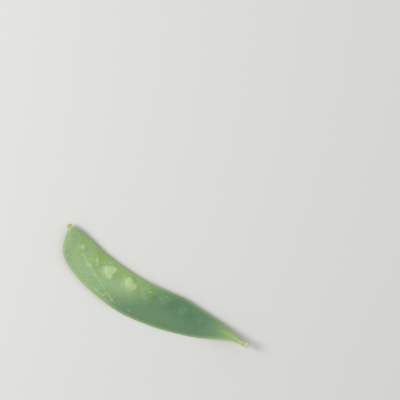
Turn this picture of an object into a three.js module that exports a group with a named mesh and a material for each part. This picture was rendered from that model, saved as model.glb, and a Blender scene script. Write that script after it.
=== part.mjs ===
// A snow pea pod lying on its side: the pod, the torn end of its stalk and the dried end of its style.
//
// Frame while the pod is shaped, in millimetres: X runs from the blossom end to the stalk, Y points to
// the ventral seam, where the peas hang, and Z points out of the upper valve. The pod is then leaned
// until it lies on its lower valve, and centred over the middle of its footprint at Z = 0.

import * as THREE from 'three';

// ---- Driving dimensions ----

// Both seams, from the blossom end to the neck. A pair at the same place in the two lists is joined by
// one rung across the pod.
const VENTRAL_SEAM = [
  [1.4, 1.7], [2.6, 2.0], [4.3, 2.1], [6.8, 1.9], [10.2, 1.4], [15.0, 0.6], [22.0, -0.8], [32.0, -1.5],
  [44.0, -1.5], [56.0, 0.1], [68.0, 2.1], [80.0, 2.2], [90.0, 2.1], [98.0, 1.6], [104.2, 0.9],
];
const DORSAL_SEAM = [
  [0.3, -0.8], [0.7, -3.1], [1.5, -6.0], [3.1, -9.9], [5.6, -13.2], [10.8, -16.4], [19.5, -19.3],
  [31.0, -21.2], [44.0, -21.8], [56.5, -20.0], [70.0, -16.4], [82.0, -11.9], [91.5, -6.6],
  [98.6, -2.7], [104.6, -1.5],
];

// Peas under the valves: place of the swelling, its radius and how far it lifts each valve.
const PEAS = [
  { x: 11.6, y: -4.3, radius: 4.0, rise: 0.35 },
  { x: 20.6, y: -5.0, radius: 4.6, rise: 0.6 },
  { x: 29.4, y: -6.6, radius: 5.2, rise: 0.95 },
  { x: 41.0, y: -6.6, radius: 5.4, rise: 0.95 },
  { x: 51.8, y: -5.1, radius: 5.0, rise: 0.8 },
  { x: 62.0, y: -3.4, radius: 4.9, rise: 0.7 },
  { x: 72.4, y: -2.7, radius: 4.7, rise: 0.65 },
  { x: 82.0, y: -2.2, radius: 3.8, rise: 0.35 },
];

const VALVE_RISE = 2.2;          // half the pod's thickness where it is widest
const VALVE_FULLNESS = 0.6;      // below 1 the valve climbs fast from the seam, then runs flat
const VALVE_LEAN = 0.62;         // below 1 the thickest line moves from the middle to the ventral side
const THINNING_WIDTH = 7.0;      // the pod thins where it is not several times wider than this
const NECK_FULLNESS = 1.5;       // width added to the above, so that the neck stays stout

const VENTRAL_BEAD = 0.8;        // radius of the raised cord that is the ventral seam
const DORSAL_BEAD = 0.5;         // radius of the dorsal keel
const BEAD_SHARE = 0.12;         // a bead's radius is never more than this share of the width
const VALVE_START = 1.3;         // the valve climbs from this many bead radii inside the seam
const SEAM_GROOVE = 0.2;         // depth of the groove between the two ridges of the ventral seam

const POD_MIDDLE = { x: 47.0, y: -8.5 };
const HALF_LENGTH = 54.0;
const BOW_RISE = 2.8;            // how far an end lifts, half a length from the middle
const BOW_DIP = 0.5;            // above 0 the pod dips on both sides of its middle, then lifts
const CUP_DROP = 1.4;            // how far the dorsal seam curls down from the line of the peas
const PEA_LINE = 0.3;            // share of the width at which the peas lie, from the ventral seam
const TWIST = THREE.MathUtils.degToRad(9);     // from one end of the pod to the other
const WAVE_RISE = 0.35;          // ripple of the dorsal side
const WAVE_LENGTH = 38.0;        // with a trough at the middle

// How the pod lies: leaned over onto its dorsal side, then sunk until its lowest spots are flat.
const LEAN_SIDE = THREE.MathUtils.degToRad(2.6);
const LEAN_END = THREE.MathUtils.degToRad(0.8);
const FLAT_DEPTH = 0.25;

const GAP = 0.3;                 // clear space between neighbouring pieces
const STUB_LENGTH = 1.9;         // stalk stub up to the roots of its torn teeth
const STUB_RADIUS = { start: 1.05, end: 1.4 };
const TEETH = 5;
const TOOTH_LENGTH = 1.3;
const STYLE_LENGTH = 2.2;
const STYLE_RADIUS = { wide: 1.2, thick: 0.85 };
const STYLE_HOOK = 0.4;          // how far its end bends towards the dorsal side

// ---- Fineness of the faces ----

const RUNG_PITCH = 1.5;
const BEAD_MARKS = [0, 0.06, 0.35, 0.9, 1.35, 1.75, 2.5, 3.6];   // in bead radii from the seam
const VALVE_MARKS = 8;
const STUB_SIDES = 25;
const STYLE_SIDES = 10;

// ---- Closed skins ----

// Skins a row of equal rings, and closes each end with a point. Each ring turns from +Y towards +Z
// where the row runs along +X, which makes the faces look outwards.
function skinRings(firstPoint, rings, lastPoint) {
  const sides = rings[0].length;
  const points = [firstPoint, ...rings.flat(), lastPoint];
  const lastRing = 1 + (rings.length - 1) * sides;
  const faces = [];
  for (let side = 0; side < sides; side += 1) {
    const next = (side + 1) % sides;
    faces.push(0, 1 + next, 1 + side);
    for (let here = 1; here < lastRing; here += sides) {
      const ahead = here + sides;
      faces.push(here + side, here + next, ahead + next);
      faces.push(here + side, ahead + next, ahead + side);
    }
    faces.push(lastRing + side, lastRing + next, points.length - 1);
  }
  const geometry = new THREE.BufferGeometry().setFromPoints(points);
  geometry.setIndex(faces);
  geometry.computeVertexNormals();
  return geometry;
}

// ---- The pod ----

const seamCurve = (seam) => new THREE.SplineCurve(seam.map(([x, y]) => new THREE.Vector2(x, y)));

// Rungs across the pod from seam to seam, about one pitch apart along the longer seam.
function podRungs() {
  const ventral = seamCurve(VENTRAL_SEAM);
  const dorsal = seamCurve(DORSAL_SEAM);
  const spans = VENTRAL_SEAM.length - 1;
  const rungs = [];
  for (let span = 0; span < spans; span += 1) {
    const reach = Math.max(
      ventral.points[span].distanceTo(ventral.points[span + 1]),
      dorsal.points[span].distanceTo(dorsal.points[span + 1]),
    );
    const steps = Math.round(reach / RUNG_PITCH);
    for (let step = 0; step < steps; step += 1) {
      const along = (span + step / steps) / spans;
      rungs.push({ ventral: ventral.getPoint(along), dorsal: dorsal.getPoint(along) });
    }
  }
  rungs.push({ ventral: ventral.getPoint(1), dorsal: dorsal.getPoint(1) });
  return rungs;
}

// Height of a half round bead at a distance from its outer edge.
function beadRise(distance, radius) {
  const fromMiddle = distance / radius - 1;
  return radius * Math.sqrt(Math.max(0, 1 - fromMiddle * fromMiddle));
}

// How far the peas lift the valve at a point.
function peaRise(point) {
  return PEAS.reduce((rise, pea) => {
    const reach = Math.hypot(point.x - pea.x, point.y - pea.y) / pea.radius;
    return rise + (reach < 1 ? pea.rise * (1 - reach * reach) ** 2 : 0);
  }, 0);
}

// Half the thickness of the pod: the valve stands between the two beads, and the higher one shows.
function halfThickness(point, share, width, beads) {
  const fromVentral = share * width;
  const fromDorsal = width - fromVentral;
  const start = VALVE_START * beads.ventral;
  const end = VALVE_START * beads.dorsal;
  const across = THREE.MathUtils.clamp((fromVentral - start) / (width - start - end), 0, 1);
  const leaning = across ** VALVE_LEAN;
  const dome = 4 * leaning * (1 - leaning);
  const rise = VALVE_RISE * (1 - Math.exp(-(width + NECK_FULLNESS) / THINNING_WIDTH));
  return Math.max(
    rise * dome ** VALVE_FULLNESS + peaRise(point) * dome,
    beadRise(fromVentral, beads.ventral),
    beadRise(fromDorsal, beads.dorsal),
  );
}

// Height of the sheet midway between the valves: bowed, curled down at the dorsal seam, twisted and
// rippled.
function middleHeight(point, share, width) {
  const along = (point.x - POD_MIDDLE.x) / HALF_LENGTH;
  const bow = BOW_RISE * along ** 2 * (along ** 2 - BOW_DIP) / (1 - BOW_DIP);
  const cup = -CUP_DROP * ((share - PEA_LINE) / (1 - PEA_LINE)) ** 2 * Math.min(1, width / 20);
  const twist = (point.y - POD_MIDDLE.y) * Math.tan(TWIST * along / 2);
  const crest = Math.cos(2 * Math.PI * (point.x - POD_MIDDLE.x) / WAVE_LENGTH);
  const wave = -WAVE_RISE * share * share * crest;
  return bow + cup + twist + wave;
}

// Places along a rung, as shares of its width: close together on the beads, even in between.
function rungShares(width, beads) {
  const ventral = BEAD_MARKS.map((mark) => mark * beads.ventral / width);
  const dorsal = BEAD_MARKS.map((mark) => 1 - mark * beads.dorsal / width).reverse();
  const from = ventral.at(-1);
  const to = dorsal[0];
  const valve = [];
  for (let mark = 1; mark <= VALVE_MARKS; mark += 1) {
    valve.push(from + (to - from) * mark / (VALVE_MARKS + 1));
  }
  return [...ventral, ...valve, ...dorsal];
}

// One ring round the pod: from the ventral seam over the upper valve to the dorsal seam, and back
// under the lower one.
function podRing({ ventral, dorsal }) {
  const width = ventral.distanceTo(dorsal);
  const beads = {
    ventral: Math.min(VENTRAL_BEAD, BEAD_SHARE * width),
    dorsal: Math.min(DORSAL_BEAD, BEAD_SHARE * width),
  };
  const groove = SEAM_GROOVE * beads.ventral / VENTRAL_BEAD / width;
  const upper = [];
  const lower = [];
  rungShares(width, beads).forEach((share) => {
    const point = ventral.clone().lerp(dorsal, share === 0 ? groove : share);
    const middle = middleHeight(point, share, width);
    const half = halfThickness(point, share, width, beads);
    upper.push(new THREE.Vector3(point.x, point.y, middle + half));
    lower.unshift(new THREE.Vector3(point.x, point.y, middle - half));
  });
  return [...upper, ...lower.slice(1, -1)];
}

const ringCentre = (ring) => new THREE.Box3().setFromPoints(ring).getCenter(new THREE.Vector3());

// ---- The stalk stub and the style tip, each shaped along its own +X ----

// A round cross-section at a place along X, with its radius changing round it.
function crossRing(x, sides, radiusAt) {
  return Array.from({ length: sides }, (_, side) => {
    const angle = 2 * Math.PI * side / sides;
    const radius = radiusAt(angle);
    return new THREE.Vector3(x, radius * Math.cos(angle), radius * Math.sin(angle));
  });
}

// The stub flares from the neck and ends in a torn crown of uneven teeth round a hollow.
function stalkStubGeometry() {
  const radiusAt = (share) => THREE.MathUtils.lerp(STUB_RADIUS.start, STUB_RADIUS.end, share ** 1.6);
  const rings = [0, 0.35, 0.7, 1].map(
    (share) => crossRing(share * STUB_LENGTH, STUB_SIDES, () => radiusAt(share)),
  );
  const tooth = (angle) => {
    const point = (0.5 + 0.5 * Math.cos(TEETH * angle)) ** 1.5;
    return TOOTH_LENGTH * point * (0.7 + 0.3 * Math.cos(2 * angle + 1));
  };
  const crown = crossRing(STUB_LENGTH, STUB_SIDES, () => 1.08 * STUB_RADIUS.end);
  const hollow = crossRing(STUB_LENGTH, STUB_SIDES, () => 0.6 * STUB_RADIUS.end);
  crown.forEach((point) => { point.x += 0.2 + tooth(Math.atan2(point.z, point.y)); });
  hollow.forEach((point) => { point.x += 0.5 * tooth(Math.atan2(point.z, point.y)); });
  const start = new THREE.Vector3(0, 0, 0);
  const floor = new THREE.Vector3(STUB_LENGTH - 0.3, 0, 0);
  return skinRings(start, [...rings, crown, hollow], floor);
}

// The style tip is a lumpy dried peg that thins out and hooks to one side.
function styleTipGeometry() {
  const flatness = STYLE_RADIUS.thick / STYLE_RADIUS.wide;
  const taper = (share) => STYLE_RADIUS.wide * (1 + 0.35 * share - 1.05 * share * share);
  const hook = (share) => STYLE_HOOK * share * share;
  const rings = [0, 0.2, 0.45, 0.7, 0.9].map((share) => {
    const lumps = (angle) => taper(share) * (0.93 + 0.07 * Math.cos(3 * angle + 4 * share));
    const ring = crossRing(share * STYLE_LENGTH, STYLE_SIDES, lumps);
    ring.forEach((point) => point.set(point.x, point.y + hook(share), point.z * flatness));
    return ring;
  });
  const start = new THREE.Vector3(0, 0, 0);
  const end = new THREE.Vector3(STYLE_LENGTH, hook(1), 0);
  return skinRings(start, rings, end);
}

// ---- Assembly ----

function finish(color, roughness) {
  return new THREE.MeshStandardMaterial({ color, roughness, metalness: 0 });
}

// Puts a small piece at an end of the pod, its X pointing away from the pod, one gap clear of it.
function placeAtEnd(mesh, ring, direction) {
  mesh.rotation.z = Math.atan2(direction.y, direction.x);
  mesh.position.copy(ringCentre(ring)).addScaledVector(direction, GAP);
}

// The way out of the pod at an end: square to the end's rung, in the plane of the valves.
function wayOut({ ventral, dorsal }, sign) {
  const rung = new THREE.Vector3(dorsal.x - ventral.x, dorsal.y - ventral.y, 0).normalize();
  return new THREE.Vector3(-rung.y * sign, rung.x * sign, 0);
}

const rungs = podRungs();
const rings = rungs.map(podRing);
const podGeometry = skinRings(ringCentre(rings[0]), rings, ringCentre(rings.at(-1)));

const stalkStub = new THREE.Mesh(stalkStubGeometry(), finish(0xd6d0a0, 0.75));
stalkStub.name = 'stalk_stub';
placeAtEnd(stalkStub, rings.at(-1), wayOut(rungs.at(-1), 1));

const styleTip = new THREE.Mesh(styleTipGeometry(), finish(0xc8be8c, 0.8));
styleTip.name = 'style_tip';
placeAtEnd(styleTip, rings[0], wayOut(rungs[0], -1));

// Leaned as it lies, with the lowest spots sunk below Z = 0.
const leaned = new THREE.Group();
leaned.rotation.set(LEAN_SIDE, LEAN_END, 0);
leaned.updateMatrix();
podGeometry.applyMatrix4(leaned.matrix);
podGeometry.computeBoundingBox();
const sink = -podGeometry.boundingBox.min.z - FLAT_DEPTH;
leaned.position.z = sink;
leaned.add(stalkStub, styleTip);

// The pod's sunken spots are pressed flat, so that it rests on them.
const podPoints = podGeometry.attributes.position;
for (let index = 0; index < podPoints.count; index += 1) {
  podPoints.setZ(index, Math.max(0, podPoints.getZ(index) + sink));
}
podGeometry.computeVertexNormals();
const pod = new THREE.Mesh(podGeometry, finish(0x8cac64, 0.5));
pod.name = 'pod';

const snowPea = new THREE.Group();
snowPea.add(pod, leaned);
const footprint = new THREE.Box3().setFromObject(snowPea).getCenter(new THREE.Vector3());
snowPea.position.set(-footprint.x, -footprint.y, 0);

export default snowPea;
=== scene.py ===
# %% [markdown]
# # A snow pea pod
#
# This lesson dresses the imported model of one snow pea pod, which lies on its side on a plain floor.
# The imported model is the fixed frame: it says where the pod, its stalk stub and its style tip are, and
# how big. Each of the three is rebuilt here in its place, with finer faces and a living finish.

# %% Load the frame
import math
from types import SimpleNamespace

import bpy
import numpy as np
from mathutils import Matrix, Vector, noise


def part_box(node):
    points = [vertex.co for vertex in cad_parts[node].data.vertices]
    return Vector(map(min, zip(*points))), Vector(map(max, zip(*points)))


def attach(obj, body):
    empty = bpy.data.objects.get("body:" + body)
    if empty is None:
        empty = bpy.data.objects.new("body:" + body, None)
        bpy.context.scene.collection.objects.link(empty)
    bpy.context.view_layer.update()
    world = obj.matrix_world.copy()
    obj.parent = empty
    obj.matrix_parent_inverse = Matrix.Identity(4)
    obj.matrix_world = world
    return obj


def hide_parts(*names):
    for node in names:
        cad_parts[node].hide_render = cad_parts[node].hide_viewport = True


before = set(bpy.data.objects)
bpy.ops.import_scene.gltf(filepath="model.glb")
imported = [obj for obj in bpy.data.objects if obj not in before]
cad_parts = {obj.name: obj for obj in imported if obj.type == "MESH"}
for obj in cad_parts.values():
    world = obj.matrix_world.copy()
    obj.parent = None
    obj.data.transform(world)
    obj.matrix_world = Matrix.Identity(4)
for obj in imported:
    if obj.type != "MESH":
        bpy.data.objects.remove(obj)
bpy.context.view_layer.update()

MM = 0.001
BODY = "root"
print("packed nodes:", sorted(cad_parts))
for node_name in sorted(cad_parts):
    low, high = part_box(node_name)
    print(node_name, "measures", [round((b - a) / MM, 2) for a, b in zip(low, high)], "mm")

# %% [markdown]
# ## Arithmetic in a node tree
#
# The pod's shape and its colours both follow formulas. Blender's node trees can work them out for
# every point, but a formula of thirty Math nodes is hard to read when each node is made by hand.
# So a small class stands for a value that flows between nodes. Adding or multiplying two of them
# makes the Math node and its links, and a formula reads as in a textbook.

# %% A value that flows between nodes
def sign(operation):
    """What a flow does on the left and on the right of a sign of arithmetic."""
    def on_left(self, other):
        return calc(operation, self, other)

    def on_right(self, other):
        return calc(operation, other, self)

    return on_left, on_right


class Flow:
    """The value of a socket. Arithmetic on it adds Math nodes to the same tree."""

    __add__, __radd__ = sign("ADD")
    __sub__, __rsub__ = sign("SUBTRACT")
    __mul__, __rmul__ = sign("MULTIPLY")
    __truediv__, __rtruediv__ = sign("DIVIDE")
    __pow__, __rpow__ = sign("POWER")

    def __init__(self, socket):
        self.socket = socket

    def __neg__(self):
        return self * -1


def feed(socket, value):
    """Links a flow into a socket, or sets the socket to a plain value."""
    if isinstance(value, Flow):
        socket.id_data.links.new(value.socket, socket)
    else:
        socket.default_value = value


def add_node(tree, kind, inputs=(), out=0, **settings):
    """Adds a node, sets its options and its inputs, and gives one of its outputs as a flow."""
    node = tree.nodes.new(kind)
    for option, value in settings.items():
        setattr(node, option, value)
    for socket, value in dict(inputs).items():
        feed(node.inputs[socket], value)
    return Flow(node.outputs[out])


def tree_of(*values):
    """The tree that the flows among some values belong to."""
    return next(value.socket.id_data for value in values if isinstance(value, Flow))


def calc(operation, *values):
    """The result of one Math node."""
    return add_node(tree_of(*values), "ShaderNodeMath", enumerate(values), operation=operation)


# %% Shorthand for common steps
def bounded(value, low=0.0, high=1.0):
    return calc("MINIMUM", calc("MAXIMUM", value, low), high)


def ramp(value, start, end):
    """0 before start and 1 past end, with a smooth climb between. Start may be the higher one."""
    ends = {"Value": value, "From Min": start, "From Max": end}
    return add_node(tree_of(value), "ShaderNodeMapRange", ends, interpolation_type="SMOOTHSTEP")


def bell(value, middle, reach):
    """1 at the middle, fading out at about twice the reach on both sides."""
    away = (value - middle) / reach
    return calc("EXPONENT", -(away * away))


def mixed(start, end, share):
    """The value at a share of the way from start to end, for flows and plain numbers alike."""
    return start + (end - start) * share


def vector(x, y, z):
    return add_node(tree_of(x, y, z), "ShaderNodeCombineXYZ", {0: x, 1: y, 2: z})


def parts(value):
    """The X, Y and Z of a vector, as three flows."""
    node = tree_of(value).nodes.new("ShaderNodeSeparateXYZ")
    feed(node.inputs[0], value)
    return [Flow(output) for output in node.outputs]


def vector_calc(operation, *values, out="Vector"):
    return add_node(
        tree_of(*values), "ShaderNodeVectorMath", enumerate(values), out, operation=operation
    )


def unevenness(place, size, detail=2.0, roughness=0.5):
    """Noise from 0 to 1 in lumps of about the given size, in the units of the place."""
    inputs = {"Vector": place, "Scale": 1 / size, "Detail": detail, "Roughness": roughness}
    return add_node(tree_of(place), "ShaderNodeTexNoise", inputs)


def placed(title, data):
    """A new object in the scene."""
    thing = bpy.data.objects.new(title, data)
    bpy.context.scene.collection.objects.link(thing)
    return thing


# %% Trees with named inputs
SOCKETS = {float: "Float", int: "Int", bpy.types.Object: "Object", bpy.types.Material: "Material"}


def start_shape_tree(title, inputs):
    """A Geometry Nodes tree with a named input for each size, count, object and material."""
    tree = bpy.data.node_groups.new(title, "GeometryNodeTree")
    for name, value in inputs.items():
        kind = "NodeSocket" + SOCKETS[type(value)]
        tree.interface.new_socket(name, in_out="INPUT", socket_type=kind)
    tree.interface.new_socket("Piece", in_out="OUTPUT", socket_type="NodeSocketGeometry")
    entry = tree.nodes.new("NodeGroupInput")
    return tree, {name: Flow(entry.outputs[name]) for name in inputs}


def end_shape_tree(tree, geometry, material):
    """Ends a tree with smooth faces, Realize Instances and Set Material."""
    geometry = add_node(tree, "GeometryNodeSetShadeSmooth", {"Geometry": geometry})
    geometry = add_node(tree, "GeometryNodeRealizeInstances", {"Geometry": geometry})
    finished = {"Geometry": geometry, "Material": material}
    geometry = add_node(tree, "GeometryNodeSetMaterial", finished)
    leave = tree.nodes.new("NodeGroupOutput")
    feed(leave.inputs["Piece"], geometry)


def grow(title, tree, inputs):
    """Runs a tree on a new object and keeps its result as a plain mesh."""
    piece = placed(title, bpy.data.meshes.new(title))
    modifier = piece.modifiers.new(title, "NODES")
    modifier.node_group = tree
    for socket in tree.interface.items_tree:
        if socket.in_out == "INPUT":
            modifier[socket.identifier] = inputs[socket.name]
    graph = bpy.context.evaluated_depsgraph_get()
    grown = bpy.data.meshes.new_from_object(
        piece.evaluated_get(graph), preserve_all_data_layers=True, depsgraph=graph
    )
    piece.modifiers.remove(modifier)
    piece.data = grown
    grown.name = title
    print(title, "has", len(grown.vertices), "points and", len(grown.polygons), "faces")
    return piece


# %% [markdown]
# ## The rule of the pod
#
# A pea pod is one folded leaf. Its two edges meet in the ventral seam, where the peas hang, and its
# midrib became the dorsal seam. So the two seams are the lines that rule its shape, and everything
# between them follows from the distance between them. They could be modelled as a flat outline that
# is filled and puffed up, but then nothing would run from seam to seam as the veins do.
#
# Here each seam is a short list of points, smoothed by a Catmull-Rom curve. Equal places on the two
# curves are joined by a rung, and a closed cross-section is drawn round each rung. Lengths are in
# millimetres until the pod is laid down, with X from the blossom end to the stalk and Y towards the
# ventral seam.

# %% The two seams
VENTRAL_SEAM = [
    (1.4, 1.7), (2.6, 2.0), (4.3, 2.1), (6.8, 1.9), (10.2, 1.4), (15.0, 0.6), (22.0, -0.8),
    (32.0, -1.5), (44.0, -1.5), (56.0, 0.1), (68.0, 2.1), (80.0, 2.2), (90.0, 2.1),
    (98.0, 1.6), (104.2, 0.9),
]
DORSAL_SEAM = [
    (0.3, -0.8), (0.7, -3.1), (1.5, -6.0), (3.1, -9.9), (5.6, -13.2), (10.8, -16.4),
    (19.5, -19.3), (31.0, -21.2), (44.0, -21.8), (56.5, -20.0), (70.0, -16.4), (82.0, -11.9),
    (91.5, -6.6), (98.6, -2.7), (104.6, -1.5),
]


def draw_lines(title, lines):
    """A curve object with one line of straight spans through each list of points."""
    curve = bpy.data.curves.new(title, "CURVE")
    curve.dimensions = "3D"
    for line in lines:
        spline = curve.splines.new("POLY")
        spline.points.add(len(line) - 1)
        for point, (x, y) in zip(spline.points, line):
            point.co = (x, y, 0, 1)
    return placed(title, curve)


seam_lines = draw_lines("seam_lines", [VENTRAL_SEAM, DORSAL_SEAM])
print("seam points:", len(VENTRAL_SEAM), "on each side")

# %% [markdown]
# ## The peas
#
# Snow peas are picked before the peas fill out, so each shows only as a low round swelling, close to
# the ventral seam. The row of peas could be a second curve with even steps, but peas are never evenly
# spaced or sized. So each has a point of its own, which carries how wide the swelling is and how far
# it lifts the valve.

# %% The row of peas
# place along and across the pod, radius, lift
PEAS = [
    (11.6, -4.3, 4.0, 0.30), (20.6, -5.0, 4.6, 0.45), (29.4, -6.6, 5.2, 0.85),
    (41.0, -6.6, 5.4, 0.80), (51.8, -5.1, 5.0, 0.60), (62.0, -3.4, 4.9, 0.55),
    (72.4, -2.7, 4.7, 0.50), (82.0, -2.2, 3.8, 0.25),
]


def scatter_points(title, rows):
    """A mesh of loose points at each row's X and Y. The other two numbers go in a vector."""
    points = bpy.data.meshes.new(title)
    points.from_pydata([(x, y, 0) for x, y, _, _ in rows], [], [])
    carried = points.attributes.new("swelling", "FLOAT_VECTOR", "POINT")
    for point, (_, _, radius, rise) in zip(carried.data, rows):
        point.vector = (radius, rise, 0)
    return placed(title, points)


pea_places = scatter_points("pea_places", PEAS)
print("peas:", len(PEAS))

# %% [markdown]
# ## The pod's skin
#
# A cylinder from the Mesh Cylinder node is already what a pod is: closed rings of faces in a row,
# with a point at both ends. Only its points have to move. The number of a point says which ring it
# is on and how far round, so Set Position can send it to its place on its rung.
#
# Round a ring, the cosine of the angle gives the share of the way from seam to seam. That puts the
# points close together at both seams, where the rounded cords need them. The sign of the sine says
# whether the point is on the upper or the lower valve.

# %% Sizes of the pod
POD_SIZES = {
    "Valve rise": 2.2,         # half the thickness where the pod is widest
    "Valve fullness": 0.56,    # below 1 the valve climbs fast from the seam, then runs flat
    "Valve lean": 0.7,         # below 1 the thickest line moves to the ventral side
    "Thinning width": 7.0,     # the pod thins where it isn't several times wider than this
    "Neck fullness": 1.5,      # added to the width there, so that the neck stays stout
    "Ventral cord": 0.66,      # radius of the raised cord along the ventral seam
    "Dorsal cord": 0.5,        # radius of the dorsal keel
    "Cord share": 0.12,        # a cord's radius is never more than this share of the width
    "Valve start": 0.95,       # the valve climbs from this many cord radii inside the seam
    "Groove depth": 0.22,      # of the groove between the two lips of the ventral seam
    "Groove reach": 0.2,       # half its width
    "Cord blend": 0.5,         # how softly a cord runs into the valve
    "Furrow depth": 0.05,      # of the hollow beside the ventral cord
    "Furrow reach": 0.6,
    "Bow rise": 2.8,           # how far an end lifts, half a length from the middle
    "Bow dip": 0.5,            # above 0 the pod dips on both sides of its middle
    "Cup drop": 1.4,           # how far the dorsal seam curls down from the line of the peas
    "Twist": math.radians(9),  # from one end of the pod to the other
    "Ripple rise": 0.35,       # ripple of the dorsal side
    "Sway": 0.5,               # uneven drift of the dorsal side
    "Unevenness": 0.22,        # uneven thickness of the valves
    "Edge wobble": 0.16,       # uneven line of both seams
    "Pucker": 0.14,            # small folds beside the ventral cord
    "End rounding": 0.35,      # how far each end domes out
}
POD_COUNTS = {
    "Steps a span": 28,        # rings between two points of a seam
    "Rings an end": 6,         # rings that round off an end
    "Points a ring": 168,
}
POD_MIDDLE = (47.0, -8.5)      # where the pod neither lifts nor twists
HALF_LENGTH = 54.0
PEA_LINE = 0.3                 # share of the width at which the peas lie
RIPPLE_LENGTH = 38.0           # from crest to crest
FULL_WIDTH = 20.0
print("sizes:", len(POD_SIZES), "and counts:", len(POD_COUNTS))


# %% Seams, rings and rungs
def sample(geometry, value, index):
    """A vector at the point with a given number."""
    inputs = {"Geometry": geometry, "Value": value, "Index": index}
    return add_node(tree_of(geometry), "GeometryNodeSampleIndex", inputs, data_type="FLOAT_VECTOR")


def rung_ends(tree, size):
    """The points of both seams as one row, and how many each seam has."""
    lines = add_node(tree, "GeometryNodeObjectInfo", {"Object": size["Seam lines"]}, "Geometry")
    curves = add_node(tree, "GeometryNodeCurveSplineType", {"Curve": lines}, spline_type="CATMULL_ROM")
    steps = {"Geometry": curves, "Resolution": size["Steps a span"]}
    curves = add_node(tree, "GeometryNodeSetSplineResolution", steps)
    points = add_node(tree, "GeometryNodeCurveToPoints", {"Curve": curves}, mode="EVALUATED")
    count = add_node(
        tree, "GeometryNodeAttributeDomainSize", {"Geometry": points}, component="POINTCLOUD"
    )
    return points, count / 2


def half_round(distance, radius):
    """Height of a half round cord at a distance from its outer edge."""
    away = distance / radius - 1
    return radius * calc("SQRT", calc("MAXIMUM", 1 - away * away, 0.0))


# %% Thickness of the pod
LUMP_SIZE = 9.0     # of the soft lumps that make the valves uneven
FOLD_SIZE = 1.3     # of the small folds beside the ventral cord
FOLD_REACH = 1.6
FURROW_PLACE = 2.6  # from the seam to the furrow, in radii of the cord


def pea_lift(tree, size, x, y):
    """How far the nearest pea lifts the valve here."""
    points = add_node(tree, "GeometryNodeObjectInfo", {"Object": size["Pea places"]}, "Geometry")
    here = vector(x, y, 0.0)
    nearest = add_node(tree, "GeometryNodeSampleNearest", {"Geometry": points, "Sample Position": here})
    place = add_node(tree, "GeometryNodeInputPosition")
    swelling = add_node(
        tree, "GeometryNodeInputNamedAttribute", {"Name": "swelling"}, data_type="FLOAT_VECTOR"
    )
    centre = sample(points, place, nearest)
    radius, rise, _ = parts(sample(points, swelling, nearest))
    away = vector_calc("DISTANCE", here, centre, out="Value") / radius
    inside = calc("MAXIMUM", 1 - away * away, 0.0)
    return rise * inside * inside


def half_thickness(size, share, width, cords, lift, x, y, side):
    """Half the thickness at a share of the width: the valve between the two cords."""
    from_ventral = share * width
    from_dorsal = width - from_ventral
    start = size["Valve start"] * cords["ventral"]
    end = size["Valve start"] * cords["dorsal"]
    across = bounded((from_ventral - start) / (width - start - end))
    leaning = across ** size["Valve lean"]
    dome = 4 * leaning * (1 - leaning)
    rise = 1 - calc("EXPONENT", -(width + size["Neck fullness"]) / size["Thinning width"])
    beside = FURROW_PLACE * cords["ventral"]
    furrow = size["Furrow depth"] * bell(from_ventral, beside, size["Furrow reach"])
    # The side in the third number reads the noise at another level for each valve.
    lumps = unevenness(vector(x, y, side * 40), LUMP_SIZE) - 0.5
    slanted = vector(x + from_ventral * 0.5, from_ventral * 0.3, side * 7)
    folds = unevenness(slanted, FOLD_SIZE) - 0.5
    puckers = size["Pucker"] * folds * bell(from_ventral, beside, FOLD_REACH)
    valve = (
        size["Valve rise"] * rise * dome ** size["Valve fullness"]
        + (lift + lumps * size["Unevenness"] - furrow + puckers) * dome
    )
    ventral = half_round(from_ventral, cords["ventral"])
    dorsal = half_round(from_dorsal, cords["dorsal"])
    return calc("SMOOTH_MAX", valve, calc("MAXIMUM", ventral, dorsal), size["Cord blend"])


# %% Height of the sheet midway between the valves
DRIFT_SIZE = 26.0  # of the slow drift of the dorsal side


def middle_height(size, x, y, share, width):
    along = (x - POD_MIDDLE[0]) / HALF_LENGTH
    squared = along * along
    bow = size["Bow rise"] * squared * (squared - size["Bow dip"]) / (1 - size["Bow dip"])
    curl = (share - PEA_LINE) / (1 - PEA_LINE)
    cup = size["Cup drop"] * curl * curl * calc("MINIMUM", width / FULL_WIDTH, 1.0)
    twist = (y - POD_MIDDLE[1]) * calc("TANGENT", size["Twist"] * along / 2)
    crest = calc("COSINE", (x - POD_MIDDLE[0]) * (2 * math.pi / RIPPLE_LENGTH))
    drift = (unevenness(vector(x, y, 9.0), DRIFT_SIZE) - 0.5) * size["Sway"]
    ripple = share * share * (size["Ripple rise"] * crest - drift)
    return bow - cup + twist - ripple


# %% The whole tree of the pod
WOBBLE_SIZE = 3.5  # of the small bends in the line of a seam
SEAMS_APART = 60   # between the two seams in that noise, so that they bend apart


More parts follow.
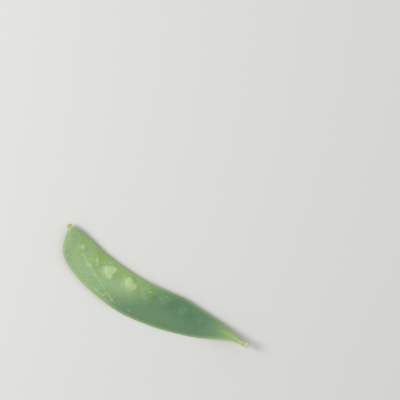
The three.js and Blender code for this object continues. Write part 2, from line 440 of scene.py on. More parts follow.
def pod_tree(inputs):
    tree, size = start_shape_tree("pod_skin_by_rungs", inputs)
    seams, rungs = rung_ends(tree, size)
    sides, end_rings = size["Points a ring"], size["Rings an end"]
    rings = rungs + end_rings * 2
    counts = {"Vertices": sides, "Side Segments": rings - 1, "Fill Segments": 1}
    tube = add_node(tree, "GeometryNodeMeshCylinder", counts, fill_type="TRIANGLE_FAN")

    number = add_node(tree, "GeometryNodeInputIndex") - 1
    ring = calc("FLOOR", number / sides)
    turn = calc("FLOORED_MODULO", number, sides) / sides * (2 * math.pi)
    rung = bounded(ring - end_rings, 0.0, rungs - 1)
    position = add_node(tree, "GeometryNodeInputPosition")
    ventral = sample(seams, position, rung)
    dorsal = sample(seams, position, rung + rungs)

    closing_start = bounded((end_rings - ring) / (end_rings + 1))
    closing_end = bounded((ring - rings + 1 + end_rings) / (end_rings + 1))
    closing = (closing_end + closing_start) * (math.pi / 2)
    outwards = calc("SINE", closing) * calc("SIGN", closing_end - closing_start)
    shrink = calc("COSINE", closing)

    share = 0.5 - calc("COSINE", turn) / 2
    side = calc("SIGN", calc("SINE", turn))
    ventral_x, ventral_y, _ = parts(ventral)
    dorsal_x, dorsal_y, _ = parts(dorsal)
    width = vector_calc("DISTANCE", ventral, dorsal, out="Value")
    slimmest = size["Cord share"] * width
    cords = {
        "ventral": calc("MINIMUM", size["Ventral cord"], slimmest),
        "dorsal": calc("MINIMUM", size["Dorsal cord"], slimmest),
    }

    flat_x = mixed(ventral_x, dorsal_x, share)
    flat_y = mixed(ventral_y, dorsal_y, share)
    lift = pea_lift(tree, size, flat_x, flat_y)
    half = half_thickness(size, share, width, cords, lift, flat_x, flat_y, side)
    narrowing = cords["ventral"] / size["Ventral cord"]
    groove = size["Groove depth"] * narrowing * bell(half, 0.0, size["Groove reach"])
    bends = unevenness(vector(flat_x, share * SEAMS_APART, 3.0), WOBBLE_SIZE, 3.0) - 0.5
    wobble = bends * size["Edge wobble"] * ramp(width, 3.0, 8.0)
    set_in = share + (groove * ramp(share, 0.5, 0.4) + wobble) / width
    drawn_in = 0.5 + (set_in - 0.5) * shrink
    doming = size["End rounding"] * outwards / width
    x = mixed(ventral_x, dorsal_x, drawn_in) + (ventral_y - dorsal_y) * doming
    y = mixed(ventral_y, dorsal_y, drawn_in) + (dorsal_x - ventral_x) * doming
    z = middle_height(size, x, y, drawn_in, width) + side * half * shrink

    skin = add_node(tree, "GeometryNodeSetPosition", {"Geometry": tube, "Position": vector(x, y, z)})
    kept = {
        "skin_place": ("FLOAT_VECTOR", vector(flat_x, share * width, (1 - share) * width)),
        "valve_side": ("FLOAT", side),
    }
    for name, (kind, value) in kept.items():
        stored = {"Geometry": skin, "Name": name, "Value": value}
        skin = add_node(tree, "GeometryNodeStoreNamedAttribute", stored, data_type=kind)
    end_shape_tree(tree, skin, size["Skin"])
    return tree


# %% Grow the pod
skin_material = bpy.data.materials.new("pea_pod_skin")
pod_inputs = {
    **POD_SIZES,
    **POD_COUNTS,
    "Seam lines": seam_lines,
    "Pea places": pea_places,
    "Skin": skin_material,
}
pod = grow("pea_pod", pod_tree(pod_inputs), pod_inputs)


# %% Measure a closed mesh
def volume(mesh):
    """The volume inside a closed mesh, negative where its faces point inwards."""
    mesh.calc_loop_triangles()
    points = [vertex.co for vertex in mesh.vertices]
    corners = ([points[i] for i in face.vertices] for face in mesh.loop_triangles)
    return sum(a.dot(b.cross(c)) for a, b, c in corners) / 6


def face_outwards(mesh):
    if volume(mesh) < 0:
        mesh.flip_normals()
    print(mesh.name, "holds", round(abs(volume(mesh)), 2), "cubic units")


def middle_of(mesh):
    rows = [[vertex.co[axis] for vertex in mesh.vertices] for axis in range(3)]
    return Vector((min(row) + max(row)) / 2 for row in rows)


face_outwards(pod.data)

# %% [markdown]
# ## Marks on the skin
#
# Where a pea presses from inside, the skin is stretched and pale, with fresher or yellower green
# beside it, and a waxy bloom lies on the valve in paler patches. Part of the pale over the peas is a
# painted highlight. A pod that was picked and packed also has a few scuffs and a brown fleck or two,
# and a pale line across the valve is a painted reflection of a crease in a plastic film, with a little
# relief. Noise alone would spread such marks evenly, so they are placed one by one, each as a soft spot
# with a place, a length, a width and a turn. Noise then smudges the round spots into uneven ones. The
# strength of each kind of mark is kept in an attribute, which the finish reads.

# %% Paint soft spots
# place along the pod, distance from the ventral seam, half length, half width, turn, strength
MARKS = {
    # pale stretched skin over the peas, partly a painted highlight
    "pale_marks": [
        (11.5, 5.0, 1.2, 1.1, 70, 1.1), (21.2, 5.2, 1.8, 0.8, 50, 1.1), (26.8, 1.8, 0.9, 0.6, 30, 0.6),
        (29.4, 5.5, 2.4, 2.2, 0, 1.6), (28.0, 5.0, 1.4, 1.3, 0, 0.6), (31.0, 3.6, 1.5, 1.3, 0, 0.8),
        (30.3, 7.7, 1.6, 1.5, 0, 0.8), (39.6, 4.2, 1.7, 1.7, 0, 1.2), (42.0, 5.5, 2.9, 2.5, 20, 0.95),
        (42.8, 7.6, 1.7, 1.2, 10, 0.3), (44.3, 4.9, 1.3, 1.2, 0, 0.5), (51.7, 4.1, 1.1, 0.8, 0, 0.7),
        (50.2, 2.9, 1.1, 0.6, 0, 0.5), (59.9, 3.0, 0.8, 1.3, 30, 0.5), (71.5, 4.1, 1.2, 0.7, 20, 0.3),
        (48.0, 17.0, 1.8, 0.7, 0, 0.5),
    ],
    "yellow_marks": [
        (10.2, 3.4, 2.0, 1.5, 30, 0.75), (13.2, 11.0, 3.0, 2.4, 0, 0.4), (19.2, 5.4, 2.8, 1.8, 0, 0.5),
        (20.8, 2.3, 3.0, 1.9, -8, 0.85), (25.6, 2.0, 2.0, 1.1, 0, 0.5), (33.2, 5.6, 1.7, 1.9, 0, 0.75),
        (49.9, 1.8, 1.5, 1.0, 0, 0.6), (53.1, 5.5, 1.1, 0.9, 0, 0.55), (62.2, 3.9, 1.1, 1.6, 20, 0.4),
        (76.0, 3.2, 3.4, 1.4, 0, 0.35),
    ],
    "fresh_marks": [
        (30.4, 1.9, 1.9, 1.0, 0, 0.5), (41.9, 1.9, 1.8, 1.2, 0, 0.8), (51.8, 4.2, 2.4, 2.2, 0, 1.05),
        (61.8, 4.4, 2.1, 1.8, 0, 0.4), (72.0, 4.6, 2.4, 2.0, 0, 0.3),
    ],
    "bloom_marks": [
        (31.0, 9.2, 5.0, 3.0, 10, 0.8), (40.5, 9.4, 7.0, 2.8, 0, 0.8), (48.0, 4.2, 1.6, 2.0, 0, 0.5),
        (51.6, 7.5, 2.2, 1.3, 0, 0.6),
    ],
    # a painted reflection of a crease in a plastic film, with a few real scuffs near its dorsal end
    "crease_marks": [
        (14.0, 8.3, 3.0, 0.7, 20, 0.8), (18.2, 9.5, 2.6, 0.9, 19, 1.1), (19.5, 9.0, 0.8, 1.1, 19, 0.9),
        (22.4, 10.5, 2.8, 0.75, 17, 0.85), (26.8, 12.1, 3.2, 0.8, 22, 0.75),
        (31.4, 13.9, 3.0, 0.8, 20, 0.65), (29.3, 17.4, 2.4, 0.8, 4, 1.1),
        (33.1, 16.5, 1.4, 0.8, -42, 1.0), (35.8, 15.8, 1.7, 0.8, 17, 1.0),
        (38.1, 17.0, 1.1, 0.9, 42, 1.1), (35.6, 18.5, 3.4, 0.6, 9, 0.9),
    ],
    "brown_marks": [
        (10.4, 0.4, 0.4, 0.3, 0, 0.9), (34.6, 0.2, 0.6, 0.25, 0, 0.7), (57.0, 9.3, 0.3, 0.25, 0, 0.6),
        (66.2, 0.3, 0.35, 0.3, 0, 0.7), (75.8, 7.4, 0.45, 0.2, 60, 0.5),
    ],
}
SMUDGE_SIZE = 2.2    # of the lumps of noise that move a place
SMUDGE_REACH = 0.55  # how far they move it
SMUDGE_SEED = 3


def smudged(x, from_ventral, side):
    """The same places, each moved about a little by noise that differs between the valves."""
    noise.seed_set(SMUDGE_SEED)
    moves = np.array([
        noise.turbulence_vector(Vector(place) / SMUDGE_SIZE, 3, False)
        for place in zip(x, from_ventral, side * 10)
    ])
    return x + moves[:, 0] * SMUDGE_REACH, from_ventral + moves[:, 1] * SMUDGE_REACH


def spotted(x, from_ventral, spots):
    """The strength of a row of soft spots together, at many places at once."""
    total = np.zeros(len(x))
    for along, across, length, width, turn, strength in spots:
        cosine, sine = math.cos(math.radians(turn)), math.sin(math.radians(turn))
        run, climb = x - along, from_ventral - across
        lengthwise = (run * cosine + climb * sine) / length
        crosswise = (climb * cosine - run * sine) / width
        total += strength * np.exp(-(lengthwise**2) - crosswise**2)
    return total


def kept_numbers(mesh, name, kind, count):
    """What an attribute holds at each point, as one row for each of its numbers."""
    numbers = np.empty(len(mesh.vertices) * count, np.float32)
    mesh.attributes[name].data.foreach_get(kind, numbers)
    return numbers.reshape(-1, count).T


def paint_marks(mesh):
    x, from_ventral, _ = kept_numbers(mesh, "skin_place", "vector", 3)
    side = kept_numbers(mesh, "valve_side", "value", 1)[0]
    x, from_ventral = smudged(x, from_ventral, side)
    for name, spots in MARKS.items():
        strength = spotted(x, from_ventral, spots).astype(np.float32)
        mesh.attributes.new(name, "FLOAT", "POINT").data.foreach_set("value", strength)
        print(name, "cover", round(100 * float((strength > 0.5).mean()), 1), "% of the points")


paint_marks(pod.data)

# %% [markdown]
# ## Laying the pod down
#
# A pod on a table leans over onto its dorsal side and touches in a few small spots, which give a
# little under its weight. The mesh is leaned, sunk until its lowest spots are a quarter of a
# millimetre under the floor, and what is under the floor is pressed flat. A rigid body simulation
# would find the same pose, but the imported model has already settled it.

# %% Lean, sink and press flat
LEAN_SIDE = math.radians(2.6)
LEAN_END = math.radians(0.8)
FLAT_DEPTH = 0.25

blossom_end = pod.data.vertices[0].co.copy()
stalk_end = pod.data.vertices[-1].co.copy()

lean = Matrix.Rotation(LEAN_SIDE, 4, "X") @ Matrix.Rotation(LEAN_END, 4, "Y")
pod.data.transform(lean)
lowest = min(vertex.co.z for vertex in pod.data.vertices)
sink = Matrix.Translation((0, 0, -lowest - FLAT_DEPTH))
pod.data.transform(sink)
pressed = [vertex for vertex in pod.data.vertices if vertex.co.z < 0]
for vertex in pressed:
    vertex.co.z = 0
to_metres = Matrix.Scale(MM, 4)
pod.data.transform(to_metres)

low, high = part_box("pod")
shift = (low + high) / 2 - middle_of(pod.data)
shift.z = 0
into_frame = Matrix.Translation(shift)
pod.data.transform(into_frame)
pod.data.update()
laid_down = into_frame @ to_metres @ sink @ lean
print("points pressed flat:", len(pressed))
print("moved by", [round(step / MM, 2) for step in shift], "mm into the packed pod's place")

# %% [markdown]
# ## The stalk stub and the style tip
#
# At one end the pod was pulled off its plant, and a stub of pale stalk is left, with its fibres torn
# into uneven teeth round a hollow. At the other end is what is left of the flower's style, a short
# dried peg, a little flattened and bent to one side. Both are round in the main, so each is a row of
# rings round its own axis, with formulas for how the radius changes along it and round it. Sculpting
# would give the same small lumps, but not the same ones twice.

# %% Skin a row of rings
def skin_rings(title, rings):
    """A closed mesh through equal rings. The first and last ring shrink to a point each."""
    sides = len(rings[0])
    inner = rings[1:-1]
    points = [rings[0][0], *(point for ring in inner for point in ring), rings[-1][0]]
    last = 1 + (len(inner) - 1) * sides
    faces = []
    for side in range(sides):
        after = (side + 1) % sides
        faces.append((0, 1 + after, 1 + side))
        for here in range(1, last, sides):
            ahead = here + sides
            faces.append((here + side, here + after, ahead + after, ahead + side))
        faces.append((last + side, last + after, len(points) - 1))
    mesh = bpy.data.meshes.new(title)
    mesh.from_pydata(points, [], faces)
    mesh.polygons.foreach_set("use_smooth", [True] * len(faces))
    face_outwards(mesh)
    return placed(title, mesh)


def ring_at(x_at, radius_at, sides, flatness=1.0, shift_y=0.0):
    """One ring round X. Its X and its radius may change with the angle."""
    ring = []
    for side in range(sides):
        angle = 2 * math.pi * side / sides
        radius = radius_at(angle)
        across = radius * math.cos(angle) + shift_y
        ring.append(Vector((x_at(angle), across, radius * math.sin(angle) * flatness)))
    return ring


def roughly(angle, along, size, seed):
    """Smooth noise from -1 to 1 over a round surface, the same on every run."""
    place = Vector((math.cos(angle), math.sin(angle), along)) / size
    return noise.noise(place + Vector((seed, 0, 0)))


# %% The stalk stub
STUB_ROOT = 0.9                  # how far it reaches into the pod's neck
STUB_LENGTH = 1.9                # up to the roots of the torn teeth
STUB_RADIUS = (0.62, 1.05, 1.4)  # inside the neck, where it comes out, and at the teeth
STUB_SIDES = 72
STUB_BEND = 1.6                  # above 1 it widens mostly near the teeth
FIBRES = 17
TEETH = 5
TOOTH_LENGTH = 1.15
CROWN_RISE = 0.2                 # how far the edge stands out between the teeth
CROWN_FLARE = 0.08               # how far the teeth lean out, as a share of the radius
CROWN_CURL = 0.16                # how far their tips curl in again
HOLLOW = 0.54                    # radius of the hollow, as a share of the stub's
HOLLOW_EDGE = 0.25               # how much of the teeth's height is left at its edge
HOLLOW_DEPTH = 0.3
ROOT_STEPS, OPEN_STEPS, CROWN_STEPS, HOLLOW_STEPS = 8, 24, 8, 4


def torn_edge(angle):
    """How far the torn edge stands out past the stub at an angle."""
    wander = 0.9 * roughly(angle, 0.0, 0.8, 5)
    point = (0.5 + 0.5 * math.cos(TEETH * angle + wander)) ** 0.8
    frayed = 0.2 * roughly(angle, 0.0, 0.14, 5)
    return CROWN_RISE + TOOTH_LENGTH * point * (0.7 + 0.3 * math.cos(2 * angle + 1)) + frayed


def fibre(angle, along):
    """Ridges of the stalk's fibres, in millimetres."""
    wander = 1.5 * roughly(angle, along, 1.6, 11)
    return 0.035 * math.cos(FIBRES * angle + wander) + 0.06 * roughly(angle, along, 0.5, 23)


def stub_ring(x, torn, radius, along=0.0, showing=0.0):
    """A ring that follows a share of the torn edge, with its fibres showing or not."""
    return ring_at(
        lambda angle: x + torn * torn_edge(angle),
        lambda angle: radius + showing * fibre(angle, along),
        STUB_SIDES,
    )


def shares(steps):
    """Shares of the way to an end, the end included."""
    return [step / steps for step in range(1, steps + 1)]


def stub_rings():
    """Rings from the root to the tips of the teeth, and back into the hollow."""
    inside, start, end = STUB_RADIUS
    rings = [stub_ring(-STUB_ROOT, 0, 0), stub_ring(-STUB_ROOT, 0, inside)]
    for share in shares(ROOT_STEPS):    # the root, hidden in the neck
        rings.append(stub_ring(-STUB_ROOT * (1 - share), 0, mixed(inside, start, share)))
    for share in shares(OPEN_STEPS):    # in the open, where its fibres show
        x, radius = share * STUB_LENGTH, mixed(start, end, share**STUB_BEND)
        rings.append(stub_ring(x, 0, radius, x, min(1, 4 * share)))
    for share in shares(CROWN_STEPS):   # the outside of the torn teeth
        radius = end * (1 + CROWN_FLARE * share - CROWN_CURL * share**3)
        rings.append(stub_ring(STUB_LENGTH, share, radius, STUB_LENGTH + share, 1))
    for share in shares(CROWN_STEPS):   # the inside of the teeth
        radius = end * mixed(1 + CROWN_FLARE - CROWN_CURL, HOLLOW, share)
        rings.append(stub_ring(STUB_LENGTH, mixed(1, HOLLOW_EDGE, share), radius, -share, 1))
    for share in shares(HOLLOW_STEPS):  # the floor of the hollow, closed in a point
        x, left = STUB_LENGTH - HOLLOW_DEPTH * share, 1 - share
        rings.append(stub_ring(x, HOLLOW_EDGE * left, end * HOLLOW * left))
    return rings


stub = skin_rings("torn_stalk_stub", stub_rings())

# %% The style tip
STYLE_ROOT = 0.9
STYLE_LENGTH = 1.85
STYLE_RADIUS = 1.3
STYLE_FLATNESS = 0.71  # its thickness over its width
STYLE_HOOK = 0.3       # how far its end bends to one side
STYLE_ROUND = 0.72     # its end is rounded off past this share of its length
STYLE_SIDES = 60
STYLE_STEPS = 34


def style_ring(share):
    """One ring of a lumpy dried peg, which bulges a little before its rounded end."""
    x = -STYLE_ROOT + (STYLE_LENGTH + STYLE_ROOT) * share
    out = max(0.0, x / STYLE_LENGTH)
    body = STYLE_RADIUS * (1 + 0.2 * out - 0.5 * out * out)
    rooted = 0.55 + 0.45 * min(1, 1 + x / STYLE_ROOT)
    past = max(0.0, (out - STYLE_ROUND) / (1 - STYLE_ROUND))
    rounding = math.sqrt(max(0.0, 1 - past**2.4))

    def radius(angle):
        lumps = 0.93 + 0.07 * math.cos(3 * angle + 4 * out) + 0.2 * roughly(angle, x, 0.8, 31)
        wrinkles = 0.04 * math.cos(11 * angle + 3 * roughly(angle, x, 1.5, 3))
        return body * rooted * rounding * (lumps + wrinkles)

    def torn(angle):
        return x + 0.3 * out * out * rounding * roughly(angle, 0.0, 0.6, 17)

    return ring_at(torn, radius, STYLE_SIDES, STYLE_FLATNESS, STYLE_HOOK * out * out)


style_rings = [ring_at(lambda a: -STYLE_ROOT, lambda a: 0.0, STYLE_SIDES)]
style_rings += [style_ring(step / STYLE_STEPS) for step in range(STYLE_STEPS + 1)]
style = skin_rings("dried_style_tip", style_rings)

# %% Set both on the ends of the pod
GAP = 0.3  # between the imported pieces
END_ROUNDING = POD_SIZES["End rounding"]


def way_out(ventral, dorsal, turn):
    """The way out of the pod at an end, square to its last rung. Turn is 1 or -1."""
    rung = (Vector(dorsal) - Vector(ventral)).normalized()
    return Vector((-rung.y * turn, rung.x * turn, 0))


def set_on_end(piece, end, outwards, packed_node):
    turn = Matrix.Rotation(math.atan2(outwards.y, outwards.x), 4, "Z")
    start = Matrix.Translation(end + outwards * (GAP - END_ROUNDING))
    piece.data.transform(laid_down @ start @ turn)
    piece.data.update()
    low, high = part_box(packed_node)
    off = middle_of(piece.data) - (low + high) / 2
    print(piece.name, "middle is", [round(step / MM, 2) for step in off], "mm off", packed_node)


set_on_end(stub, stalk_end, way_out(VENTRAL_SEAM[-1], DORSAL_SEAM[-1], 1), "stalk_stub")
set_on_end(style, blossom_end, way_out(VENTRAL_SEAM[0], DORSAL_SEAM[0], -1), "style_tip")

# %% [markdown]
# ## Colours and layers
#
# A living skin is never one green. Its colour could be painted by hand on a UV map, but then the two
# valves and the seams would need a painting each. Here the colour is built up in layers, as a painter
# would glaze it, and each layer knows where it belongs: the cross-sections have left every point its
# place along the pod and its distance to both seams, and the marks have left their strength.
#
# The two numbers of a ramp say where a layer starts and where it is complete, in millimetres for a
# distance and as a share for the rest. The factor at its end says how strong the layer gets.

# %% Helpers for layered colours
MIX_SHARE, MIX_START, MIX_END, MIX_RESULT = 0, 6, 7, 2  # sockets of a Mix node


def colour(red, green, blue):
    """A colour as it looks on a screen, from 0 to 255, turned into the values that light mixes."""
    return (*((level / 255) ** 2.2 for level in (red, green, blue)), 1.0)


def layered(base, layers):
    """A colour under layers. Each is a colour and the share by which it covers what is below."""
    for tint, share in layers:
        inputs = {MIX_SHARE: share, MIX_START: base, MIX_END: tint}
        base = add_node(tree_of(share), "ShaderNodeMix", inputs, MIX_RESULT, data_type="RGBA")
    return base


def start_material(material, **fixed):
    """Turns a material's nodes on and sets what is the same all over it."""
    material.use_nodes = True
    shader = material.node_tree.nodes["Principled BSDF"]
    for name, value in fixed.items():
        shader.inputs[name.replace("_", " ")].default_value = value
    return material.node_tree, shader


def read_attribute(tree, name, out="Fac"):
    return add_node(tree, "ShaderNodeAttribute", out=out, attribute_name=name)


def in_millimetres(tree):
    """The Object coordinates, in millimetres."""
    place = add_node(tree, "ShaderNodeTexCoord", out="Object")
    return vector_calc("MULTIPLY", place, (1 / MM, 1 / MM, 1 / MM))


def bumped(shader, height, depth):
    """Sets a relief on a shader. A height of 1 stands out by the depth, in millimetres."""
    inputs = {"Height": height, "Distance": depth * MM, "Strength": 1.0}
    feed(shader.inputs["Normal"], add_node(tree_of(height), "ShaderNodeBump", inputs))


# %% The greens of the skin
BODY_GREEN = colour(142, 174, 111)
VENTRAL_GREEN = colour(145, 178, 103)
BLOOM_GREEN = colour(144, 175, 126)
# painted shade for the dorsal flank of the blossom end
TIP_FLANK_SHADE = colour(116, 149, 88)
SHADE_GREEN = colour(118, 156, 84)
VEIN_GREEN = colour(166, 195, 136)
# painted shade: a darker, cooler green laid over the stalk half
STALK_HALF_SHADE = colour(77, 121, 91)
WAX_GREEN = colour(154, 183, 144)
YELLOW_GREEN = colour(148, 173, 76)
FRESH_GREEN = colour(120, 163, 70)
# pale skin over the peas, with a painted highlight
PEA_PALE_AND_GLARE = colour(193, 214, 155)
PEA_YELLOW = colour(184, 200, 116)
# painted reflection of a film crease, and pale scuffs
CREASE_GLINT_AND_SCUFF_PALE = colour(178, 207, 148)
# paler green of the dorsal keel, with a painted highlight in it
RIM_AND_HIGHLIGHT_GREEN = colour(162, 191, 132)
SEAM_LINE_GREEN = colour(104, 142, 66)
NECK_GREEN = colour(168, 190, 112)
CREAM = colour(206, 200, 150)
FLECK_BROWN = colour(150, 122, 62)
print("body green mixes as", [round(level, 3) for level in BODY_GREEN[:3]])

# %% [markdown]
# ## Veins
#
# Side veins leave the ventral seam at a slant, fade on their way to the dorsal seam, and are tied
# together by a fine net. They could be curves laid on the valve, but at this size they show as a change
# of green more than as a form. So a wave that repeats along the slant draws the side veins, and the
# edges of Voronoi cells, stretched along them, draw the net.

# %% Veins
VEIN_SLANT = 0.8   # how far a vein runs along the pod for each step across it
VEIN_SPACING = 3.4
VEIN_WANDER = 5.5
NET_SIZE = 1.9
NET_STRETCH = 1.7  # length of a mesh of the net over its width


def side_veins(x, from_ventral, share, side):
    """1 on the veins that leave the ventral seam at a slant and fade on their way."""
    wander = unevenness(vector(x, from_ventral, side * 30), 5.0, 3.0, 0.55) - 0.5
    phase = (x + from_ventral * VEIN_SLANT + wander * VEIN_WANDER) / VEIN_SPACING
    away = calc("PINGPONG", phase, 0.5)
    return ramp(away, 0.045, 0.012) * ramp(share, 0.85, 0.3)


def vein_net(x, from_ventral, side):
    """1 on the finer net between them."""
    along = (x + from_ventral * VEIN_SLANT) / NET_SIZE
    slanted = vector(along, from_ventral / NET_SIZE / NET_STRETCH, side * 9)
    wander = unevenness(slanted, 0.9, 3.0, 0.6)
    inputs = {
        "Vector": vector_calc("ADD", slanted, vector(wander, wander * 0.6, 0.0)),
        "Scale": 1.0,
    }
    away = add_node(tree_of(x), "ShaderNodeTexVoronoi", inputs, feature="DISTANCE_TO_EDGE")
    return ramp(away, 0.075, 0.01)


# %% Where a layer is on the skin
BROAD_SIZE = 14.0  # lumps of noise, from the widest to the finest
MOTTLE_SIZE = 3.2
CLOUD_SIZE = 1.3
FLECK_SIZE = 0.5
GRAIN_SIZE = 0.16
SHADE_SLANT = 0.6   # how much sooner the painted shade starts for each step across
SHADE_LEAD = 8.0    # and how much sooner again on the dorsal side


def painted_stalk_shade(x, from_ventral, mottle):
    """1 where the painted shade over the stalk half is darkest."""
    sooner = from_ventral * SHADE_SLANT + ramp(from_ventral, 7.0, 17.0) * SHADE_LEAD
    return ramp(x + sooner + mottle * 8, 40.0, 68.0) * ramp(x, 107.0, 78.0)


def read_skin(tree):
    """All that a layer may ask about its place: distances, noise, veins and marks."""
    place = in_millimetres(tree)
    x, from_ventral, from_dorsal = parts(read_attribute(tree, "skin_place", "Vector"))
    side = read_attribute(tree, "valve_side")
    share = from_ventral / (from_ventral + from_dorsal)
    mottle = unevenness(place, MOTTLE_SIZE, 4.0, 0.6) - 0.5
    return SimpleNamespace(
        x=x, from_ventral=from_ventral, from_dorsal=from_dorsal, share=share, mottle=mottle,
        from_tip=calc("SQRT", x * x + from_ventral * from_ventral),
        broad=unevenness(place, BROAD_SIZE, 2.0) - 0.5,
        cloud=unevenness(place, CLOUD_SIZE, 3.0, 0.6) - 0.5,
        flecks=unevenness(place, FLECK_SIZE, 2.0, 0.6),
        grain=unevenness(place, GRAIN_SIZE, 1.0),
        veins=side_veins(x, from_ventral, share, side),
        net=vein_net(x, from_ventral, side),
        stalk_shade=painted_stalk_shade(x, from_ventral, mottle),
        **{name: read_attribute(tree, name) for name in MARKS},
    )


# %% Layers of the body
def body_layers(skin):
    """The greens of both valves and their veins, with painted shade on the tip's dorsal flank and over
    the stalk half.
    """
    mottle, cloud = skin.mottle, skin.cloud
    near_tip = ramp(skin.from_tip + mottle * 6, 15.0, 5.0)
    shaded_flank = bell(skin.from_dorsal, 3.0, 1.9) * ramp(skin.x + mottle * 4, 15.0, 2.0)
    off_seam = ramp(skin.from_ventral, 0.2, 1.5)
    # strength of the painted shade over the stalk half, less on the ventral cord and far from the
    # ventral seam
    depth = 0.42 + off_seam * 0.42 - ramp(skin.from_ventral, 5.0, 15.0) * 0.18
    return [
        (BODY_GREEN, ramp(skin.share + skin.broad * 0.5, 0.05, 0.35)),
        (BLOOM_GREEN, ramp(skin.share + (skin.broad + mottle) * 0.5, 0.3, 0.75) * 0.9),
        (BLOOM_GREEN, near_tip * 0.85),
        # painted shade on the dorsal flank near the blossom end, and across the tip towards the dorsal
        # seam
        (TIP_FLANK_SHADE, calc("MAXIMUM", shaded_flank * 0.85, near_tip * skin.share * 0.5)),
        (SHADE_GREEN, ramp(mottle + cloud * 0.6, -0.05, 0.35) * 0.5),
        (VEIN_GREEN, ramp(cloud, -0.05, 0.25) * 0.5),
        (VEIN_GREEN, skin.veins * 0.4),
        (VEIN_GREEN, skin.net * 0.25),
        (VEIN_GREEN, ramp(skin.flecks, 0.5, 0.75) * 0.55),
        # painted shade darkens the stalk half
        (STALK_HALF_SHADE, skin.stalk_shade * depth),
    ]


# %% Layers of the marks
def mark_layers(skin):
    """The marks that were listed one by one, with edges broken up by noise."""
    mottle, cloud, flecks = skin.mottle, skin.cloud, skin.flecks
    pale, crease = skin.pale_marks, skin.crease_marks
    pale_and_glare_patches = ramp(pale + cloud * 0.8, 0.1, 1.1) * ramp(pale, 0.05, 0.3)
    glint_and_scuffs = ramp(crease + cloud * 2.2, 0.1, 1.5) * ramp(crease, 0.05, 0.6)
    return [
        (WAX_GREEN, ramp(skin.bloom_marks + mottle * 0.5, 0.0, 1.2) * 0.65),
        (YELLOW_GREEN, ramp(skin.yellow_marks + mottle * 0.6, 0.1, 1.0) * 0.75),
        (FRESH_GREEN, ramp(skin.fresh_marks, 0.1, 1.0) * (0.75 + cloud)),
        # pale skin over the peas, partly a painted highlight
        (PEA_PALE_AND_GLARE, pale_and_glare_patches * (0.75 + cloud * 0.9 + (flecks - 0.5) * 0.5)),
        (PEA_YELLOW, ramp(pale + mottle * 2, 1.1, 1.9) * 0.35),
        # painted reflection of a film crease, with a few pale scuffs
        (CREASE_GLINT_AND_SCUFF_PALE, glint_and_scuffs * (0.45 + flecks * 0.6)),
    ]


# %% Layers of the edges and the ends
def edge_layers(skin):
    """The paler dorsal rim with a painted highlight, the line in the ventral groove, the yellower ends
    and the flecks.
    """
    x, from_tip, mottle = skin.x, skin.from_tip, skin.mottle
    yellow_neck = ramp(x - mottle * 4, 88.0, 102.0)
    cream_tip, cream_neck = ramp(from_tip + mottle, 2.9, 1.2), ramp(x - mottle * 2, 101.5, 105.0)
    return [
        # paler dorsal keel and its painted highlight, weaker under the painted shade of the stalk half
        (RIM_AND_HIGHLIGHT_GREEN, ramp(skin.from_dorsal, 1.7, 0.5) * (0.85 - skin.stalk_shade * 0.4)),
        (SEAM_LINE_GREEN, ramp(skin.from_ventral, 0.1, 0.02) * 0.7),
        (NECK_GREEN, calc("MAXIMUM", ramp(from_tip, 7.0, 2.0), yellow_neck) * 0.5),
        (CREAM, calc("MAXIMUM", cream_tip, cream_neck) * 0.8),
        (FLECK_BROWN, ramp(skin.brown_marks, 0.2, 0.7) * 0.7),
    ]


# %% Dress the skin
SKIN_RELIEF = 0.05  # in millimetres, for a height of 1


def dress_skin(material):
    tree, shader = start_material(
        material,
        Subsurface_Weight=0.22,
        Subsurface_Scale=0.9 * MM,
        Coat_Weight=0.2,
        Coat_Roughness=0.34,
    )
    shader.inputs["Subsurface Radius"].default_value = (0.7, 1.0, 0.35)
    skin = read_skin(tree)
    layers = [*body_layers(skin), *mark_layers(skin), *edge_layers(skin)]
    feed(shader.inputs["Base Color"], layered(VENTRAL_GREEN, layers))
    feed(shader.inputs["Roughness"], 0.44 + skin.mottle * 0.2 + skin.flecks * 0.05)

    strings = calc("COSINE", skin.from_ventral * 26) * ramp(skin.from_ventral, 1.3, 0.9)
    lines = skin.veins * 0.25 + skin.net * 0.15 + skin.crease_marks * 0.6 + strings * 0.1
    lumps = skin.grain * 0.2 + skin.flecks * 0.4 + skin.cloud * 0.8 + skin.mottle * 0.6
    bumped(shader, lines + lumps, SKIN_RELIEF)


dress_skin(skin_material)
print("skin nodes:", len(skin_material.node_tree.nodes))

# %% [markdown]
# ## Dry ends
#
# The torn stalk and the dried style have lost their water, so they are dull, cream and streaked with
# brown. They could share one plain cream, but both are greener where they join the pod. One function
# makes both finishes, as they differ only in their colours and in which way they turn dry.

# %% Torn stalk and dried style
# green where it joins the pod, cream further out, and brown spots
STALK_COLOURS = colour(178, 194, 124), colour(220, 211, 170), colour(156, 118, 76)
STYLE_COLOURS = colour(186, 196, 134), colour(210, 200, 156), colour(142, 108, 70)
DRY_RELIEF = 0.1


def dress_dry_end(piece, title, colours, start, end, spotting):
    """Dry plant flesh, whose green turns cream between two places along X."""
    green, cream, brown = colours
    material = bpy.data.materials.new(title)
    tree, shader = start_material(material, Subsurface_Weight=0.15, Subsurface_Scale=0.6 * MM)
    shader.inputs["Subsurface Radius"].default_value = (0.8, 0.7, 0.4)
    place = in_millimetres(tree)
    x, y, z = parts(place)
    blotches = unevenness(place, 0.9, 3.0, 0.6)
    streaks = unevenness(vector(x * 0.25, y, z), 0.28, 2.0)
    layers = [
        (cream, ramp(x + (blotches - 0.5) * 1.8, start, end)),
        (brown, ramp(streaks * blotches, 0.27, 0.42) * spotting),
    ]
    feed(shader.inputs["Base Color"], layered(green, layers))
    feed(shader.inputs["Roughness"], 0.6 + streaks * 0.25)
    bumped(shader, streaks * 0.6 + blotches * 0.4, DRY_RELIEF)
    piece.data.materials.append(material)
    print(title, "nodes:", len(tree.nodes))


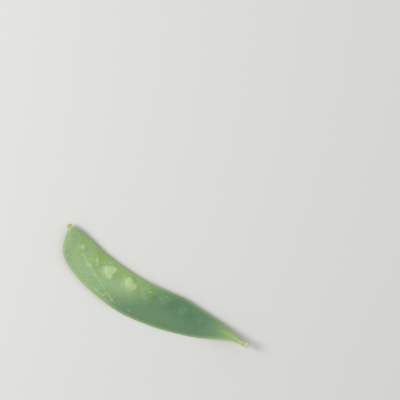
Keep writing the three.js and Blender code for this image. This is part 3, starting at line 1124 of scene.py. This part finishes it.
stub_start, stub_end = (corner.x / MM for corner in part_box("stalk_stub"))
style_end, style_start = (corner.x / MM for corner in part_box("style_tip"))
dress_dry_end(stub, "torn_stalk", STALK_COLOURS, stub_start, stub_end - 1.5, 0.5)
dress_dry_end(style, "dried_style", STYLE_COLOURS, style_start, style_end, 0.35)

# %% [markdown]
# ## Joining the frame
#
# Each piece rides on the one body of the imported model, and the imported node it stands for is hidden.
# The names of that node and of the finish it shows are printed.

# %% Ride, replace and print the finish
for piece, node_name, finish in (
    (pod, "pod", "pod_skin"),
    (stub, "stalk_stub", "stalk_flesh"),
    (style, "style_tip", "dried_style"),
):
    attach(piece, BODY)
    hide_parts(node_name)
    print(piece.name, "stands for", node_name, "and shows", finish)

for guide in (seam_lines, pea_places):
    bpy.data.objects.remove(guide)

# %% [markdown]
# ## Floor, light and camera
#
# The floor is plain and pale, and wide enough to run out of sight from a low camera. Large soft
# lights stand where the windows of a room would be. The camera looks straight down on the pod
# through a long lens, which keeps its outline as flat as a drawing.

# %% Floor
FLOOR_SIDE = 4.0
FLOOR_CORNERS = [(-0.5, -0.5), (0.5, -0.5), (0.5, 0.5), (-0.5, 0.5)]
FLOOR_PALE = colour(226, 226, 222)

floor_mesh = bpy.data.meshes.new("floor")
corners = [(FLOOR_SIDE * x, FLOOR_SIDE * y, 0) for x, y in FLOOR_CORNERS]
floor_mesh.from_pydata(corners, [], [(0, 1, 2, 3)])
floor_paint = bpy.data.materials.new("floor_paint")
_, shader = start_material(floor_paint, Roughness=0.85)
shader.inputs["Base Color"].default_value = FLOOR_PALE
floor_mesh.materials.append(floor_paint)
placed("floor", floor_mesh)
print("floor side:", FLOOR_SIDE, "m")

# %% Lights
VIEW_TURN = math.radians(33.37)  # from the frame's Y to the view's top
WARM_WHITE = (1.0, 0.98, 0.95)
COOL_WHITE = (0.95, 0.98, 1.0)
ROOM_GLOW = 0.46                 # of the light that comes from all around


def hang_light(title, place, side, power, tint):
    """A square soft light that faces the pod. Its place turns with the view."""
    lamp = bpy.data.lights.new(title, "AREA")
    lamp.shape = "SQUARE"
    lamp.size = side
    lamp.energy = power
    lamp.color = tint
    light = placed(title, lamp)
    light.location = Matrix.Rotation(VIEW_TURN, 3, "Z") @ Vector(place)
    light.rotation_euler = (-light.location).to_track_quat("-Z", "Y").to_euler()
    print(title, "light:", power, "W,", round(light.location.length, 2), "m away")


hang_light("window", (-0.68, 0.14, 0.74), 0.5, 6.3, WARM_WHITE)
hang_light("room", (0.6, 0.6, 0.7), 0.9, 1.8, COOL_WHITE)

world = bpy.data.worlds.new("soft_room")
world.use_nodes = True
sky = world.node_tree.nodes["Background"]
sky.inputs["Color"].default_value = (*COOL_WHITE, 1.0)
sky.inputs["Strength"].default_value = ROOM_GLOW
bpy.context.scene.world = world
bpy.context.scene.view_settings.view_transform = "Standard"

# %% Camera
VIEW_SIDE = 0.2     # the width of what the camera sees at the pod
VIEW_MIDDLE = (-0.00585, 0.0573)
LENS = 250.0
MID_HEIGHT = 0.004  # of the pod's middle

camera_data = bpy.data.cameras.new("overhead")
camera_data.lens = LENS
camera = placed("overhead", camera_data)
away = VIEW_SIDE * LENS / camera_data.sensor_width
camera.location = (*VIEW_MIDDLE, MID_HEIGHT + away)
camera.rotation_euler = (0, 0, VIEW_TURN)
bpy.context.scene.camera = camera
print("camera is", round(away, 3), "m above the pod")
